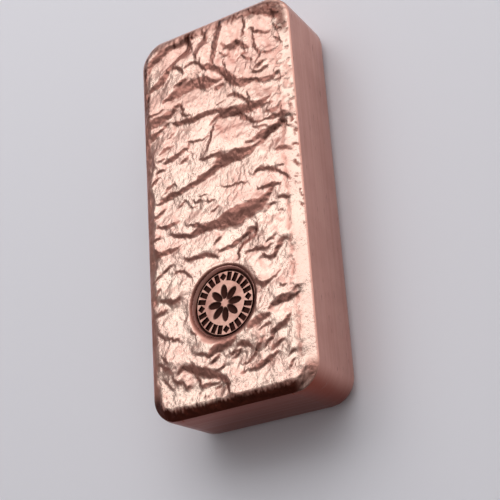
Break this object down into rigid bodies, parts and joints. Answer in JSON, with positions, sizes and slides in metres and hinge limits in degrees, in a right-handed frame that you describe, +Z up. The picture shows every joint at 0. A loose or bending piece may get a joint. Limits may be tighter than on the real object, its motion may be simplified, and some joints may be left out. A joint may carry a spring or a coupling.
{
  "type": "copper ingot",
  "caption": "Small cast copper ingot: a rounded rectangular bar with drafted walls, a flat base, a wrinkled poured crust and a shallow round stamp recess.",
  "frame": {"origin": "centre of the flat base, on the floor the bar lies on", "axes": "+Y along the bar's length, away from the stamped end; +X across its width; +Z up through the crust"},
  "size_m": [0.038, 0.0866, 0.0182],
  "materials": {
    "copper": "As-cast copper: bright wrinkled crust, satin mould-drawn walls, brown tarnish in the creases"
  },
  "bodies": {
    "root": {"ingot": "copper"}
  },
  "joints": []
}
